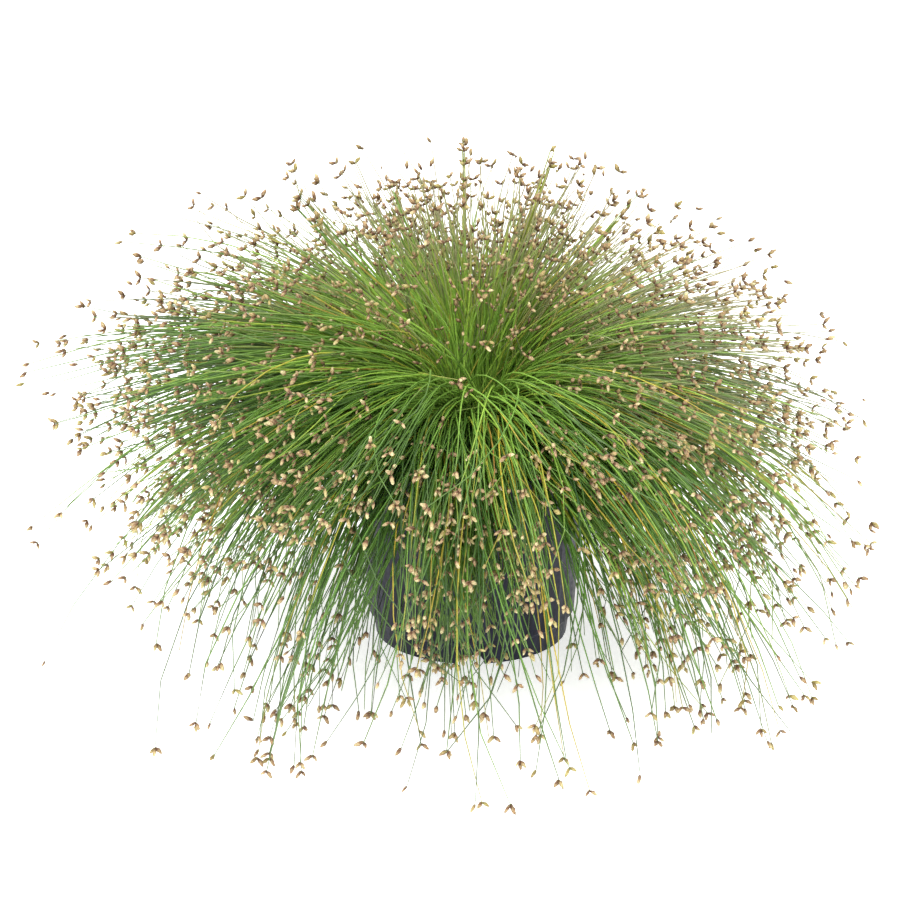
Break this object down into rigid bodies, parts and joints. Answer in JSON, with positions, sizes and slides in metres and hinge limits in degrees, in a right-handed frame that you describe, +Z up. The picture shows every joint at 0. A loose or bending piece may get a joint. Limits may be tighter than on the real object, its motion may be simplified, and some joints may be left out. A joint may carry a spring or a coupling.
{
  "type": "potted fiber optic grass",
  "caption": "Dome of fine arching grass stems, each tipped with small pale spikelets, growing from a plain dark nursery pot with a stepped foot",
  "frame": {"origin": "centre of the pot's foot at floor level, the middle of the underside of the box round the whole plant", "axes": "+Z up along the pot's axis; -Y is the side that the picture shows; +X is the picture's right"},
  "size_m": [0.488, 0.488, 0.2778],
  "materials": {
    "pot_plastic": "dark blue-grey moulded plastic, satin, with faint upright flow lines",
    "potting_soil": "moist dark brown peat and bark crumbs, rough",
    "grass_stem": "mid green, thin, soft sheen, here and there yellowed or rusty",
    "young_grass_stem": "fresh yellow-green, thin, soft sheen",
    "spikelet": "cream tips over mauve-brown scales, matt"
  },
  "bodies": {
    "root": {"nursery_pot": "pot_plastic", "potting_soil": "potting_soil", "tuft_01": "grass_stem", "tuft_02": "grass_stem", "tuft_03": "grass_stem", "tuft_04": "young_grass_stem", "tuft_05": "grass_stem", "tuft_06": "young_grass_stem", "tuft_07": "young_grass_stem", "tuft_08": "grass_stem", "tuft_09": "young_grass_stem", "tuft_10": "grass_stem", "tuft_11": "grass_stem", "tuft_12": "young_grass_stem", "tuft_13": "grass_stem", "tuft_14": "grass_stem", "tuft_15": "grass_stem", "tuft_16": "grass_stem", "tuft_17": "grass_stem", "tuft_18": "grass_stem", "tuft_19": "grass_stem", "tuft_20": "grass_stem", "tuft_21": "grass_stem", "tuft_22": "grass_stem", "tuft_23": "young_grass_stem", "tuft_24": "grass_stem", "tuft_25": "grass_stem", "tuft_26": "grass_stem", "tuft_27": "young_grass_stem", "tuft_28": "grass_stem", "tuft_29": "young_grass_stem", "tuft_30": "grass_stem", "tuft_31": "young_grass_stem", "tuft_32": "young_grass_stem", "tuft_33": "grass_stem", "tuft_34": "grass_stem", "tuft_35": "grass_stem", "tuft_36": "young_grass_stem", "tuft_37": "young_grass_stem", "tuft_38": "grass_stem", "tuft_39": "young_grass_stem", "tuft_40": "grass_stem", "tuft_41": "grass_stem", "tuft_42": "young_grass_stem", "tuft_43": "grass_stem", "tuft_44": "grass_stem", "tuft_45": "grass_stem", "tuft_46": "grass_stem", "tuft_47": "grass_stem", "tuft_48": "grass_stem", "tuft_49": "grass_stem", "tuft_50": "grass_stem", "tuft_51": "grass_stem", "tuft_52": "grass_stem", "tuft_53": "grass_stem", "tuft_54": "grass_stem"}
  },
  "joints": []
}
